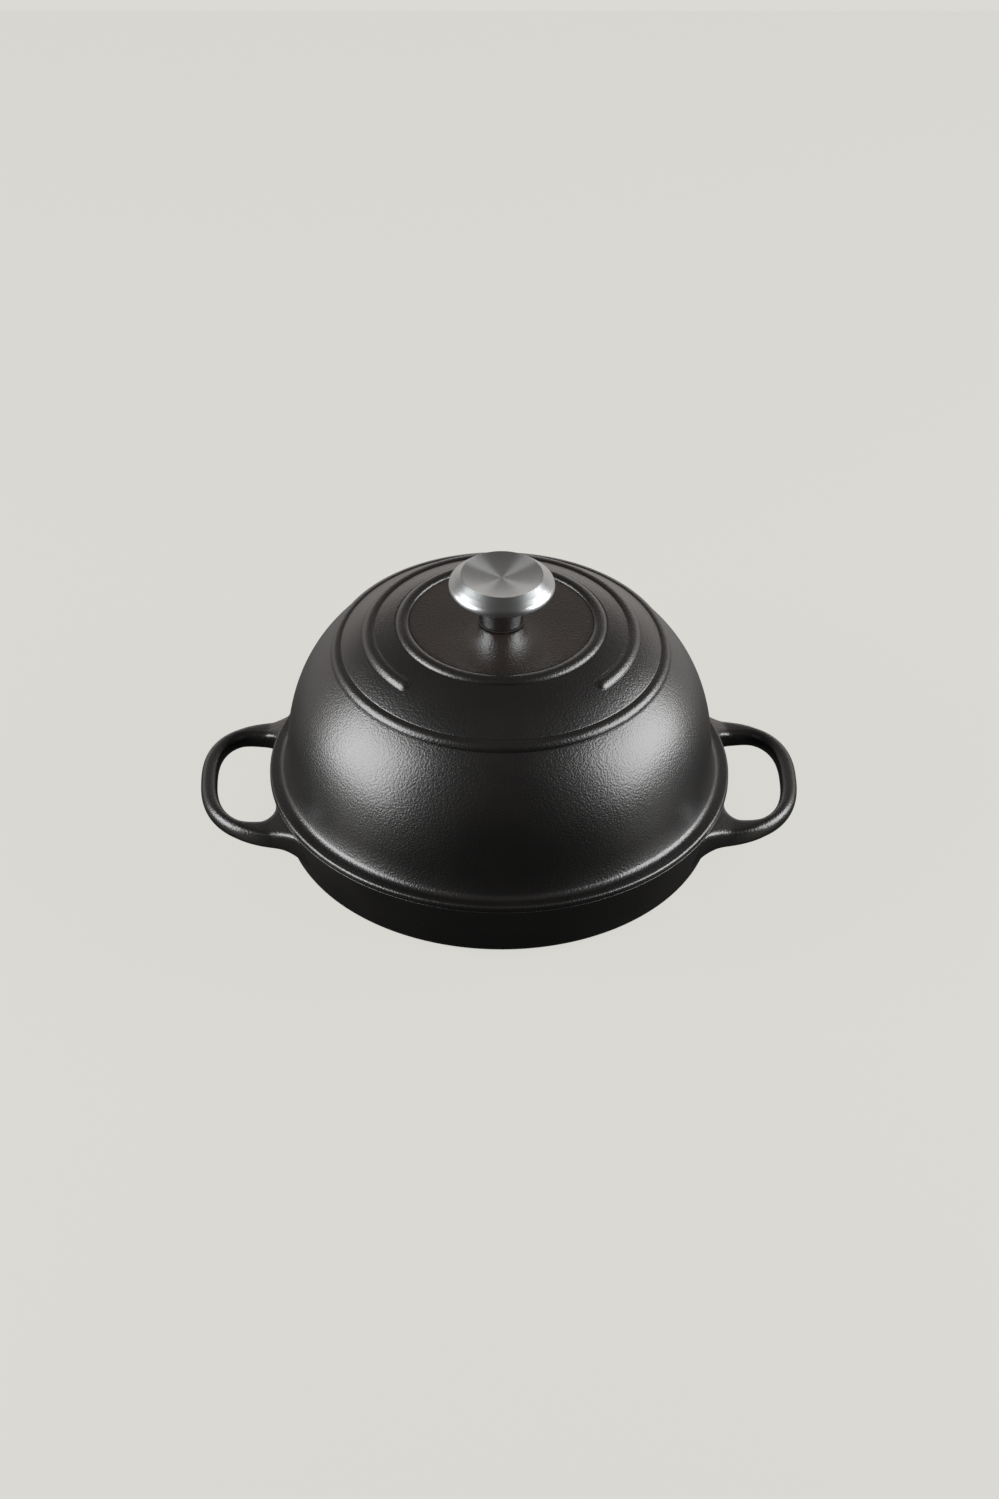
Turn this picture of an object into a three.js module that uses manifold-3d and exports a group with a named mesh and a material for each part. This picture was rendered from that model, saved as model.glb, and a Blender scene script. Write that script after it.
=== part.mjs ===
// Domed cast iron bread oven: a shallow pan with two loop handles cast onto it, a domed lid that
// lifts straight off, and a hollow steel knob held by a screw from inside the lid.
// Millimetres, +Z up. The origin is on the ground under the middle of the pan, +X runs along the
// handles, and the gap of the middle lid ring faces -Y.

import * as THREE from 'three';
import { mergeVertices } from 'three/addons/utils/BufferGeometryUtils.js';
import Module from 'manifold-3d';

// Fits
const seatGap = 0.3; // between two pieces that rest on each other
const lipClearance = 0.8; // lid lip inside the pan mouth, on the radius
const boreClearance = 0.35; // screw in its holes, on the radius

// Pan
const rimRadius = 125;
const panHeight = 35;
const panTaper = 10.3; // how much smaller the pan is at the ground, on the radius
const panCorner = 7; // outer rounding between wall and underside
const panWall = 4.5;
const panFloor = 4.5;
const rimThickness = 6;
const rimEdge = 1; // rounding of the rim's two edges
const trayCorner = 9; // inner rounding between wall and floor
const footRecess = 1; // the underside is hollowed by this much inside the foot ring
const footWidth = 15;
const crumbRidgeRadii = [30, 54, 78]; // rings on the tray floor that hold the loaf off the iron
const crumbRidgeWidth = 5;
const crumbRidgeHeight = 1.3;

// Handles
const handleReach = 37.3; // past the rim
const handleHalfWidth = 52; // half the spread of the two arms
const handleSetIn = 13; // the loop's widest line lies this far inside the rim
const handlePower = 2.3; // roundness of the loop
const handleThickness = 9.4;
const handleDrop = 4.4; // from the rim's top down to the handle's top
const handleTilt = 3; // degrees that the loop rises outwards from the rim
const handleRounding = 2.6;
const handleFlare = 2.6; // extra spread where an arm runs into the wall
const handleFlareStart = 15; // the flare begins this far past the rim
const gripWidth = 9; // iron around the finger hole, at the outer end
const armWidth = 13.6; // iron beside the finger hole, in each arm
const fingerHoleSetOut = 8; // the hole's widest line lies this far past the rim
const fingerHolePower = 2.4;

// Lid
const flangeInset = 0.4; // the lid's flange is this much smaller than the rim
const flangeWidth = 9.3;
const flangeThickness = 3.2;
const flangeEdge = 1.1;
const footFillet = 3.5; // between the flange and the dome
const domeFootInset = 0.23; // the dome's own curve starts this far inside its foot line
const domeHeight = 100.5; // of the full curve, above the flange
const domePower = 2.65; // roundness of the dome
const crownDrop = 4.9; // the flat crown cuts this much off the full curve
const lidWall = 4.2;
const hollowFoot = 0.1; // angle where the hollow's curve starts, in radians
const crownThickness = 4.6;
const lipDepth = 3.5;
const lipThickness = 4;
const ridgeWidth = 6.6; // of the three raised rings, seen from above
const ridgeHeight = 1.4;
const ridgeShares = [1, 0.6, 0, -0.6, -1]; // points across a ring, as shares of its half width
const innerRingRadius = 52.5;
const middleRingRadius = 70.2;
const outerRingRadius = 87.3;
const middleRingGap = 94; // degrees of the middle ring left open at the front
const ridgeRoot = 1; // how deep the middle ring is rooted in the dome

// Knob
const knobHeight = 28.6; // from the stem's foot to the top edge
const knobRadius = 28.2;
const knobWidest = 23.4; // height of the widest line above the stem's foot
const capRadius = 21.5;
const capDish = 2.2;
const stemRadius = 11.8;
const neckRadius = 11.3;
const neckHeight = 14.5; // where the stem turns out into the underside
const knobSheet = 1.3;
const neckFillet = 6;
const skirtRounding = 4.5; // the widest line runs round the middle of this arc
const skirtTop = 60; // degrees up from the widest line, where the arc runs into the flank
const skirtBottom = 75; // degrees down from the widest line, where it runs into the underside
const capLedge = 2; // width of the ledge that carries the cap
const gasketThickness = 0.8;
const gasketOverhang = 0.5;

// Knob fixing
const screwRadius = 3;
const screwHeadRadius = 5.8;
const screwHeadHeight = 3.6;
const screwEngagement = 9; // length of screw inside the boss
const driveWidth = 1.5;
const driveLength = 6.4;
const driveDepth = 1.8;
const bossTail = 1.4; // free bore past the screw's end
const bossRoof = 2.4;
const washerRadius = 8;
const washerThickness = 1.2;
const springWasherRadius = 5.4;
const springWasherThickness = 1.5;
const springWasherSplit = 1.2;

// Fineness of the round pieces
const castingSides = 48;
const knobSides = 32;
const hardwareSides = 24;
const arcStep = Math.PI / 7; // turn between two points of a rounded corner
const loopSteps = 16;
const wallSteps = 8;
const crownSteps = 3;
const hollowSteps = 9;

// Finishes
const enamel = { color: 0x17171a, roughness: 0.42, metalness: 0.1 };
const steel = { color: 0xb4b2ae, roughness: 0.3, metalness: 1 };
const zinc = { color: 0x8d9095, roughness: 0.45, metalness: 1 };
const blackRubber = { color: 0x101010, roughness: 0.8, metalness: 0 };

const wasm = await Module();
wasm.setup();

// Closed three.js geometry to a solid that can be cut and joined
function toSolid(geometry) {
  const bare = geometry.clone();
  bare.deleteAttribute('normal');
  bare.deleteAttribute('uv');
  const merged = mergeVertices(bare, 1e-4);
  const index = Array.from(merged.index.array);
  const kept = [];
  for (let i = 0; i < index.length; i += 3) {
    const [a, b, c] = index.slice(i, i + 3);
    if (a !== b && b !== c && c !== a) {
      kept.push(a, b, c);
    }
  }
  const vertProperties = new Float32Array(merged.attributes.position.array);
  const triVerts = new Uint32Array(kept);
  return new wasm.Manifold(new wasm.Mesh({ numProp: 3, vertProperties, triVerts }));
}

function toGeometry(solid) {
  const mesh = solid.getMesh();
  const geometry = new THREE.BufferGeometry();
  geometry.setAttribute('position', new THREE.BufferAttribute(mesh.vertProperties, 3));
  geometry.setIndex(new THREE.BufferAttribute(mesh.triVerts, 1));
  geometry.computeVertexNormals();
  return geometry;
}

function named(name, geometry, finish) {
  const mesh = new THREE.Mesh(geometry, new THREE.MeshStandardMaterial(finish));
  mesh.name = name;
  return mesh;
}

// Corners are [radius, height, rounding]. A rounded corner becomes an arc that touches both sides.
function outline(corners) {
  const points = [];
  corners.forEach(([x, y, rounding = 0], i) => {
    const corner = new THREE.Vector2(x, y);
    if (rounding === 0) {
      points.push(corner);
      return;
    }
    const before = new THREE.Vector2(...corners[i - 1].slice(0, 2)).sub(corner);
    const after = new THREE.Vector2(...corners[i + 1].slice(0, 2)).sub(corner);
    const half = Math.acos(before.dot(after) / (before.length() * after.length())) / 2;
    const reach = rounding / Math.tan(half);
    const start = corner.clone().addScaledVector(before.normalize(), reach);
    const end = corner.clone().addScaledVector(after.normalize(), reach);
    const middle = before.clone().add(after).normalize();
    const centre = corner.clone().addScaledVector(middle, rounding / Math.sin(half));
    const turn = Math.PI - 2 * half;
    const steps = Math.max(1, Math.round(turn / arcStep));
    const sense = Math.sign(start.clone().sub(centre).cross(end.clone().sub(centre)));
    for (let k = 0; k <= steps; k += 1) {
      points.push(start.clone().rotateAround(centre, (sense * turn * k) / steps));
    }
  });
  return points;
}

// A profile of radius and height turned about Z
function turned(points, sides) {
  return new THREE.LatheGeometry(points, sides).rotateX(Math.PI / 2);
}

function ring(innerRadius, outerRadius, bottom, top, sides) {
  const corners = [[innerRadius, bottom], [outerRadius, bottom], [outerRadius, top], [innerRadius, top]];
  return turned(outline([...corners, corners[0]]), sides);
}

// Pan: the wall runs straight from the rim to the ground, rounded at the foot
const mouthRadius = rimRadius - rimThickness;
const footRadius = rimRadius - panTaper;
const floorTop = footRecess + panFloor;
const trayRadius = footRadius + (panTaper * floorTop) / panHeight - panWall;

function crumbRidge(radius) {
  const base = crumbRidgeWidth / 2;
  const top = base / 2;
  const height = floorTop + crumbRidgeHeight;
  return [
    [radius + base, floorTop],
    [radius + top, height],
    [radius - top, height],
    [radius - base, floorTop],
  ];
}

function panBody() {
  const recessRadius = footRadius - panCorner - footWidth;
  const corners = [
    [0, footRecess],
    [recessRadius, footRecess],
    [recessRadius + footRecess, 0],
    [footRadius, 0, panCorner],
    [rimRadius, panHeight, rimEdge],
    [mouthRadius, panHeight, rimEdge],
    [trayRadius, floorTop, trayCorner],
    ...crumbRidgeRadii.toReversed().flatMap(crumbRidge),
    [0, floorTop],
  ];
  return toSolid(turned(outline(corners), castingSides));
}

// Superellipse height over a half width: 1 in the middle, 0 at either end
function roundness(share, power) {
  return Math.max(0, 1 - Math.abs(share) ** power) ** (1 / power);
}

// Half the spread of the handle's outline at a distance from the axis
function handleSpread(x) {
  const loopMiddle = rimRadius - handleSetIn;
  const loop = roundness((x - loopMiddle) / (handleReach + handleSetIn), handlePower);
  const flareStart = rimRadius + handleFlareStart;
  const inFlare = Math.max(0, flareStart - x) / (handleFlareStart + handleSetIn);
  return handleHalfWidth * loop + handleFlare * Math.min(1, inFlare) ** 2;
}

function fingerHoleOutline() {
  const middle = rimRadius + fingerHoleSetOut;
  const reach = handleReach - gripWidth - fingerHoleSetOut;
  const half = handleHalfWidth - armWidth;
  const rounded = (v) => Math.sign(v) * Math.abs(v) ** (2 / fingerHolePower);
  const points = [];
  for (let k = 0; k < 2 * loopSteps; k += 1) {
    const angle = (Math.PI * k) / loopSteps;
    const x = middle + reach * rounded(Math.cos(angle));
    points.push(new THREE.Vector2(x, half * rounded(Math.sin(angle))));
  }
  return new THREE.Path(points);
}

// One loop handle along +X: a rounded plate with the finger hole, ending inside the pan's wall
function handleBody() {
  const tip = rimRadius + handleReach;
  const root = rimRadius - 2 * handleSetIn;
  const upper = [];
  for (let k = 0; k <= loopSteps; k += 1) {
    const x = root + (tip - root) * Math.sin((Math.PI / 2) * (k / loopSteps));
    upper.push(new THREE.Vector2(x, handleSpread(x)));
  }
  const lower = upper.slice(0, -1).reverse().map((point) => new THREE.Vector2(point.x, -point.y));
  const shape = new THREE.Shape([...upper, ...lower]);
  shape.holes.push(fingerHoleOutline());
  const plate = new THREE.ExtrudeGeometry(shape, {
    depth: handleThickness - 2 * handleRounding,
    bevelThickness: handleRounding,
    bevelSize: handleRounding,
    bevelOffset: -handleRounding,
    bevelSegments: 2,
  });
  plate.translate(-rimRadius, 0, handleRounding - handleThickness);
  plate.rotateY(-THREE.MathUtils.degToRad(handleTilt));
  plate.translate(rimRadius, 0, panHeight - handleDrop);
  const core = outline([
    [0, 0],
    [footRadius - panWall / 2, 0],
    [rimRadius - rimThickness / 2, panHeight],
    [0, panHeight],
  ]);
  return toSolid(plate).subtract(toSolid(turned(core, castingSides)));
}

function pan() {
  const handle = handleBody();
  const solid = panBody().add(handle).add(handle.rotate([0, 0, 180]));
  return named('base', toGeometry(solid), enamel);
}

// Lid: heights from the flange's underside
const flangeRadius = rimRadius - flangeInset;
const domeRadius = flangeRadius - flangeWidth;
const crownTop = flangeThickness + domeHeight - crownDrop;
const ceiling = crownTop - crownThickness;
const screwHole = screwRadius + boreClearance;

// Point of the plain dome at an angle, moved outwards along its normal
function domePoint(angle, lift) {
  const power = 2 / domePower;
  const across = Math.cos(angle) ** power;
  const up = Math.sin(angle) ** power;
  const flat = domeHeight * up > domeHeight - crownDrop;
  const height = flat ? domeHeight - crownDrop : domeHeight * up;
  const outwards = across ** (domePower - 1) / domeRadius;
  const upwards = up ** (domePower - 1) / domeHeight;
  const tilt = flat ? new THREE.Vector2(0, 1) : new THREE.Vector2(outwards, upwards).normalize();
  return [domeRadius * across + lift * tilt.x, flangeThickness + height + lift * tilt.y];
}

function domeAngle(radius) {
  return Math.acos((radius / domeRadius) ** (domePower / 2));
}

// Height of a raised ring, whose section is part of a circle
function ridgeLift(offset) {
  const half = ridgeWidth / 2;
  const radius = (half ** 2 + ridgeHeight ** 2) / (2 * ridgeHeight);
  return Math.sqrt(radius ** 2 - offset ** 2) - (radius - ridgeHeight);
}

function ridgeSection(ringRadius) {
  return ridgeShares.map((share) => {
    const offset = (share * ridgeWidth) / 2;
    return domePoint(domeAngle(ringRadius + offset), ridgeLift(offset));
  });
}

function between(start, end, steps) {
  const inner = [];
  for (let k = 1; k < steps; k += 1) {
    inner.push(start + ((end - start) * k) / steps);
  }
  return inner;
}

// The hollow follows the dome one wall further in
function hollowPoint(angle) {
  const power = 2 / domePower;
  const x = (domeRadius - lidWall) * Math.cos(angle) ** power;
  const y = flangeThickness + (domeHeight - lidWall) * Math.sin(angle) ** power;
  return [x, Math.min(y, ceiling)];
}

function lidBody() {
  const half = ridgeWidth / 2;
  const lipOuter = mouthRadius - lipClearance;
  const lipInner = lipOuter - lipThickness;
  const lipTaper = (lipDepth * (mouthRadius - trayRadius)) / (panHeight - floorTop);
  const footAngle = domeAngle(domeRadius - domeFootInset);
  const outerFoot = domeAngle(outerRingRadius + half);
  const crownStart = domeAngle(outerRingRadius - half);
  const crownEnd = domeAngle(innerRingRadius + half);
  const hollowStart = Math.asin(((ceiling - flangeThickness) / (domeHeight - lidWall)) ** (domePower / 2));
  const corners = [
    [screwHole, ceiling],
    hollowPoint(hollowStart),
    ...between(hollowStart, hollowFoot, hollowSteps).map(hollowPoint),
    hollowPoint(hollowFoot),
    [lipInner, 0],
    [lipInner, -lipDepth],
    [lipOuter - lipTaper, -lipDepth],
    [lipOuter, 0],
    [flangeRadius, 0],
    [flangeRadius, flangeThickness, flangeEdge],
    [domeRadius, flangeThickness, footFillet],
    domePoint(footAngle, 0),
    ...between(footAngle, outerFoot, wallSteps).map((angle) => domePoint(angle, 0)),
    ...ridgeSection(outerRingRadius),
    ...between(crownStart, crownEnd, crownSteps).map((angle) => domePoint(angle, 0)),
    ...ridgeSection(innerRingRadius),
    [screwHole, crownTop],
    [screwHole, ceiling],
  ];
  return toSolid(turned(outline(corners), castingSides));
}

// The middle ring is open at the front and has round ends
function middleRing() {
  const half = ridgeWidth / 2;
  const angle = domeAngle(middleRingRadius);
  const top = ridgeSection(middleRingRadius);
  const root = [-half, half].map((offset) => domePoint(domeAngle(middleRingRadius + offset), -ridgeRoot));
  const whole = toSolid(turned(outline([...top, ...root, top[0]]), castingSides));
  const halfGap = THREE.MathUtils.degToRad(middleRingGap / 2);
  const front = -Math.PI / 2;
  const reach = 2 * middleRingRadius;
  const wedge = new THREE.Shape();
  wedge.absarc(0, 0, reach, front - halfGap, front + halfGap, false);
  wedge.lineTo(0, 0);
  const opening = new THREE.ExtrudeGeometry(wedge, { depth: 2 * crownTop, bevelEnabled: false });
  let solid = whole.subtract(toSolid(opening));
  const [footX, footZ] = domePoint(angle, 0);
  const [tipX, tipZ] = domePoint(angle, 1);
  const lean = Math.atan2(tipX - footX, tipZ - footZ);
  const outerShares = ridgeShares.filter((share) => share >= 0);
  const button = outerShares.map((share) => [share * half, ridgeLift(share * half)]);
  const cap = turned(outline([[0, -ridgeRoot], [half, -ridgeRoot], ...button]), hardwareSides);
  for (const side of [front - halfGap, front + halfGap]) {
    const end = cap.clone().rotateY(lean).translate(footX, 0, footZ).rotateZ(side);
    solid = solid.add(toSolid(end));
  }
  return solid;
}

function lid() {
  return named('dome_lid', toGeometry(lidBody().add(middleRing())), enamel);
}

// Knob: heights from the flat crown of the lid
const stemFoot = 2 * seatGap + gasketThickness;
const bossBottom = stemFoot + seatGap;
const boreEnd = bossBottom + screwEngagement + bossTail;

function knobGasket() {
  const outer = stemRadius + gasketOverhang;
  const geometry = ring(screwHole, outer, seatGap, seatGap + gasketThickness, knobSides);
  return named('knob_gasket', geometry, blackRubber);
}

// Arc of the skirt, from the underside up to the flank
function skirtArc(radius) {
  const steps = [-skirtBottom, -skirtBottom / 2, 0, skirtTop / 2, skirtTop];
  return steps.map((degrees) => {
    const angle = THREE.MathUtils.degToRad(degrees);
    const x = knobRadius - skirtRounding + radius * Math.cos(angle);
    return [x, stemFoot + knobWidest + radius * Math.sin(angle)];
  });
}

// Pressed shell: stem, underside, rounded skirt, flank and the ledge that the cap sits on
function knobShell() {
  const top = stemFoot + knobHeight - seatGap;
  const ledge = top - knobSheet - seatGap;
  const ledgeBottom = ledge - knobSheet;
  const opening = capRadius - capLedge;
  const hollow = skirtArc(skirtRounding - knobSheet).filter(([, z]) => z < ledgeBottom);
  const corners = [
    [stemRadius, stemFoot],
    [neckRadius, stemFoot + neckHeight, neckFillet],
    ...skirtArc(skirtRounding),
    [capRadius + seatGap, top],
    [capRadius + seatGap, ledge],
    [opening, ledge],
    [opening, ledgeBottom],
    [knobRadius - skirtRounding, ledgeBottom],
    ...hollow.toReversed(),
    [neckRadius - knobSheet, stemFoot + neckHeight + knobSheet, neckFillet],
    [stemRadius - knobSheet, stemFoot],
    [stemRadius, stemFoot],
  ];
  return named('knob_shell', turned(outline(corners), knobSides), steel);
}

// Dished top: a shallow bowl whose rim is level with the shell's edge
function knobCap() {
  const top = stemFoot + knobHeight;
  const shares = [0, 0.25, 0.5, 0.75, 1];
  const dished = shares.map((share) => [share * capRadius, top - capDish * (1 - share ** 2)]);
  const under = dished.map(([r, z]) => [r, z - knobSheet]);
  return named('knob_cap', turned(outline([...under, ...dished.toReversed()]), knobSides), steel);
}

// Threaded boss inside the stem, with a blind bore for the screw
function knobBoss() {
  const outer = neckRadius - knobSheet - seatGap;
  const corners = [
    [screwHole, bossBottom],
    [outer, bossBottom],
    [outer, boreEnd + bossRoof],
    [0, boreEnd + bossRoof],
    [0, boreEnd],
    [screwHole, boreEnd],
    [screwHole, bossBottom],
  ];
  return named('knob_boss', turned(outline(corners), hardwareSides), zinc);
}

// Fixing under the lid's ceiling: heights still from the crown
const washerTop = -crownThickness - seatGap;
const springTop = washerTop - washerThickness - seatGap;
const headTop = springTop - springWasherThickness - seatGap;

function knobScrew() {
  const headBottom = headTop - screwHeadHeight;
  const corners = [
    [0, headBottom],
    [screwHeadRadius, headBottom, screwHeadHeight / 2],
    [screwHeadRadius, headTop],
    [screwRadius, headTop],
    [screwRadius, bossBottom + screwEngagement],
    [0, bossBottom + screwEngagement],
  ];
  let solid = toSolid(turned(outline(corners), hardwareSides));
  for (const turn of [0, Math.PI / 2]) {
    const blade = new THREE.BoxGeometry(driveLength, driveWidth, 2 * driveDepth);
    solid = solid.subtract(toSolid(blade.rotateZ(turn).translate(0, 0, headBottom)));
  }
  return named('knob_screw', toGeometry(solid), zinc);
}

function flatWasher() {
  const geometry = ring(screwHole, washerRadius, washerTop - washerThickness, washerTop, hardwareSides);
  return named('flat_washer', geometry, zinc);
}

function springWasher() {
  const bottom = springTop - springWasherThickness;
  const whole = toSolid(ring(screwHole, springWasherRadius, bottom, springTop, hardwareSides));
  const split = new THREE.BoxGeometry(2 * springWasherRadius, springWasherSplit, 4 * springWasherThickness);
  const solid = whole.subtract(toSolid(split.translate(springWasherRadius, 0, springTop)));
  return named('spring_washer', toGeometry(solid), zinc);
}

const knobAssembly = new THREE.Group();
knobAssembly.position.z = crownTop;
knobAssembly.add(knobGasket(), knobShell(), knobCap(), knobBoss());
knobAssembly.add(knobScrew(), flatWasher(), springWasher());

const lidAssembly = new THREE.Group();
lidAssembly.position.z = panHeight + seatGap;
lidAssembly.add(lid(), knobAssembly);

const breadOven = new THREE.Group();
breadOven.add(pan(), lidAssembly);

export default breadOven;
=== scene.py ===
"""Looks of a domed cast iron bread oven: enamelled pan and lid, turned steel knob, studio and camera.

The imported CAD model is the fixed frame. Each casting, pressing and fastener is a surface worked out
with numpy, in millimetres in the frame of the CAD, and is stored in metres.
"""

import logging
import math
from collections.abc import Callable, Mapping
from dataclasses import dataclass
from enum import Enum

import bpy
import numpy as np
from mathutils import Matrix, Vector


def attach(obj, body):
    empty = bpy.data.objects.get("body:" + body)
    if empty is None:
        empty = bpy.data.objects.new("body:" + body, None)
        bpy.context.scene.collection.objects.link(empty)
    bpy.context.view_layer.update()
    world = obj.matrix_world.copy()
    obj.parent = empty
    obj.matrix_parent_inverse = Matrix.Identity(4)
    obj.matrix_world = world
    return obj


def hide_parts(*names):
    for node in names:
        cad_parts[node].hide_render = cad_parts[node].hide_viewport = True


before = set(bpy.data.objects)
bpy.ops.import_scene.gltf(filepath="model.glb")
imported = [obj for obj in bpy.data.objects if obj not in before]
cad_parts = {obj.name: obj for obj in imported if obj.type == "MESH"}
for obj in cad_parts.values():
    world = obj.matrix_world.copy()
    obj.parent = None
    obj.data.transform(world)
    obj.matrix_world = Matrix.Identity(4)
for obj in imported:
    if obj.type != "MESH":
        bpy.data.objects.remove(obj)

LOG = logging.getLogger("bread_oven")
MM = 0.001
QUARTER = math.pi / 2
FULL_TURN = 2 * math.pi
TINY = 1e-12
SAME = 1e-6
# In edges: the shortest side of a profile that is divided, and what dividing points keep from its ends
LONG_SIDE, CLEAR_SIDE = 3, 2
# The sRGB curve
SRGB_TOP, SRGB_TOE, SRGB_SLOPE, SRGB_OFFSET, SRGB_POWER = 255, 0.04045, 12.92, 0.055, 2.4
# Sockets of the Mix node that hold colours
MIX_LOW, MIX_HIGH, MIX_RESULT = 6, 7, 2

Array = np.ndarray
Colour = tuple[float, float, float]
Corner = tuple[float, float, float]
Span = tuple[float, float]
Surface = tuple[Array, list[list[int]]]
Socket = bpy.types.NodeSocket
Material = bpy.types.Material


class Body(Enum):
    """Moving bodies of the CAD frame."""

    PAN = "pan"
    LID = "lid"


class Slot(Enum):
    """Material slots of the record."""

    ENAMEL = "enamel"
    STEEL = "knob_steel"
    HARDWARE = "hardware"
    GASKET = "gasket"


def linear(colour: tuple[int, int, int]) -> Colour:
    """Turns a display colour of 0 to 255 into linear light, by the sRGB curve.

    Args:
        colour: Display colour.

    Returns:
        The linear colour.
    """
    share = np.asarray(colour) / SRGB_TOP
    curve = ((share + SRGB_OFFSET) / (1 + SRGB_OFFSET)) ** SRGB_POWER
    return tuple(np.where(share > SRGB_TOE, curve, share / SRGB_SLOPE).tolist())


# Profiles and grids


def unit(vectors: Array) -> Array:
    """Rows of vectors, each divided by its length."""
    return vectors / np.maximum(np.linalg.norm(vectors, axis=-1, keepdims=True), TINY)


def polar(radius: Array, angle: Array, height: Array) -> Array:
    """Points at a radius and an angle about the vertical axis, by cosine and sine, and at a height."""
    points = np.broadcast_arrays(radius * np.cos(angle), radius * np.sin(angle), height)
    return np.stack(points, axis=-1)


def rounded(corners: list[Corner], steps: int = 7) -> Array:
    """Rounds the corners of a profile.

    A corner becomes an arc that touches both of its sides. The arc's centre lies on the bisector,
    at the rounding over the sine of half the corner's angle, and the arc is the spherical mean of
    its two ends as seen from there.

    Args:
        corners: Radius, height and rounding of each corner. A rounding of 0 keeps the corner.
        steps: Parts of each arc.

    Returns:
        Points of radius and height.
    """
    table = np.asarray(corners, float)
    points, rounding = table[:, :2], table[:, 2:]
    before = unit(np.roll(points, 1, axis=0) - points)
    after = unit(np.roll(points, -1, axis=0) - points)
    half = np.arccos(np.clip((before * after).sum(axis=1, keepdims=True), -1, 1)) / 2
    centre = points + unit(before + after) * rounding / np.sin(half)
    reach = rounding / np.tan(half)
    start = points + before * reach - centre
    end = points + after * reach - centre
    turn = np.maximum(np.pi - 2 * half, SAME)[:, None]
    share = np.linspace(0, 1, steps + 1)[None, :, None]
    arc = np.sin((1 - share) * turn) * start[:, None] + np.sin(share * turn) * end[:, None]
    return distinct((centre[:, None] + arc / np.sin(turn)).reshape(-1, 2))


def distinct(points: Array) -> Array:
    """Points without those that repeat the one before them."""
    steps = np.linalg.norm(np.diff(points, axis=0), axis=1)
    return points[np.concatenate([[True], steps > SAME])]


def supported(profile: Array, edge: float = 0.5, longest: float = 4.0) -> Array:
    """Adds points on the long sides of a profile, so that smooth shading stays flat there.

    Args:
        profile: Points of radius and height.
        edge: Distance of the first added point from each end of a long side.
        longest: Longest side that is left.

    Returns:
        The profile with the added points.
    """
    length = np.linalg.norm(np.diff(profile, axis=0), axis=1)
    along = np.concatenate([[0], np.cumsum(length)])
    is_long = length > LONG_SIDE * edge
    near = np.concatenate([along[:-1][is_long] + edge, along[1:][is_long] - edge])
    even = np.arange(longest, along[-1], longest)
    side = np.searchsorted(along, even) - 1
    clear = np.minimum(even - along[side], along[side + 1] - even) > CLEAR_SIDE * edge
    places = np.unique(np.concatenate([along, near, even[is_long[side] & clear]]))
    return np.stack([np.interp(places, along, profile[:, k]) for k in (0, 1)], axis=1)


def turned(profile: Array, sides: int) -> Array:
    """Turns a profile of radius and height about the vertical axis."""
    angle = np.linspace(0, FULL_TURN, sides, endpoint=False)
    return polar(profile[:, :1], angle, profile[:, 1:])


def capped(grid: Array) -> Array:
    """Grid with one more row at each end, whose points all lie in the mean of the end row."""
    first, last = (np.broadcast_to(grid[k].mean(axis=0), grid[:1].shape) for k in (0, -1))
    return np.concatenate([first, grid, last])


def oblong(across: Span, up: Span, rounding: tuple[float, float, float, float]) -> list[Corner]:
    """Corners of an oblong section, anticlockwise from the inner lower one.

    Args:
        across: Inner and outer radius.
        up: Lower and upper height.
        rounding: Rounding of each corner.

    Returns:
        Corners as for rounded.
    """
    (inner, outer), (low, high) = across, up
    places = [(inner, low), (outer, low), (outer, high), (inner, high)]
    return [(*place, size) for place, size in zip(places, rounding)]


def fillet(gap: Array, run: float) -> Array:
    """Height of a quarter round, as a share: 0 where the gap equals the run, 1 where it closes."""
    inside = np.clip(1 - gap / run, 0, 1)
    return 1 - np.sqrt(1 - inside**2)


def ramp(gap: Array, run: float, softness: float = 0.15) -> Array:
    """Height of a straight ramp, as a share, with a hyperbola of a softness at its foot."""
    inside = np.minimum(1 - gap / run, 1)
    return (inside + np.sqrt(inside**2 + softness**2)) / 2


def superellipse(angle: Array, power: float | Array) -> tuple[Array, Array]:
    """Unit superellipse: cosine and sine, each to the power of 2 over the given power.

    Args:
        angle: Angles.
        power: Power of the superellipse, where 2 is a circle.

    Returns:
        Places across and up.
    """
    across, up = np.cos(angle), np.sin(angle)
    bend = 2 / power
    return np.sign(across) * np.abs(across) ** bend, np.sign(up) * np.abs(up) ** bend


class Ends(Enum):
    """How the first and last row of a grid are closed."""

    JOINED = "joined"
    POLES = "poles"


def skin(grid: Array, ends: Ends) -> Surface:
    """Closed faces over a grid whose last column joins its first.

    Args:
        grid: Points by row and column. With poles, the first and last row each lie in one point.
        ends: Whether the last row joins the first or both are poles.

    Returns:
        Vertices and faces.
    """
    rows, columns = grid.shape[:2]
    index = np.arange(rows * columns).reshape(rows, columns)
    low, high = index, np.roll(index, -1, axis=0)
    if ends is Ends.POLES:
        index[0], index[-1] = index[0, 0], index[-1, 0]
        low, high = index[:-1], index[1:]
    quads = np.stack([low, np.roll(low, -1, 1), np.roll(high, -1, 1), high], axis=-1)
    vertices = grid.reshape(-1, 3)
    if ends is Ends.JOINED:
        return vertices, quads.reshape(-1, 4).tolist()
    used = np.unique(index)
    new_index = np.zeros(rows * columns, int)
    new_index[used] = np.arange(len(used))
    quads = new_index[quads]
    fans = quads[0][:, [0, 2, 3]].tolist() + quads[-1][:, [0, 1, 2]].tolist()
    return vertices[used], quads[1:-1].reshape(-1, 4).tolist() + fans


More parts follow.
